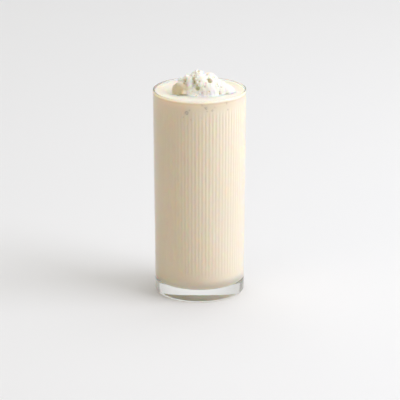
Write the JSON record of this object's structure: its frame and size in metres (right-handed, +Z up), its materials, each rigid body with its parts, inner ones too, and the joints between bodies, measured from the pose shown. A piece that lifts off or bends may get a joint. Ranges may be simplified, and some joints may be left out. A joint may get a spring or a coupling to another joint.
{
  "type": "vanilla milkshake in a glass",
  "caption": "Tall straight glass with fine upright flutes, filled almost to the rim with pale vanilla milkshake and topped with a spooned heap of whipped cream.",
  "frame": {"origin": "middle of the glass's foot, on the surface it stands on", "axes": "+Z up along the glass's axis, -Y towards the viewer, +X to the viewer's right"},
  "size_m": [0.07, 0.07, 0.1741],
  "materials": {
    "clear_glass": "clear, polished",
    "vanilla_shake": "thick drink, soft satin, pale vanilla",
    "cream": "whipped cream, soft and slightly glossy"
  },
  "bodies": {
    "root": {"glass": "clear_glass", "milkshake": "vanilla_shake", "whipped_cream": "cream"}
  },
  "joints": []
}
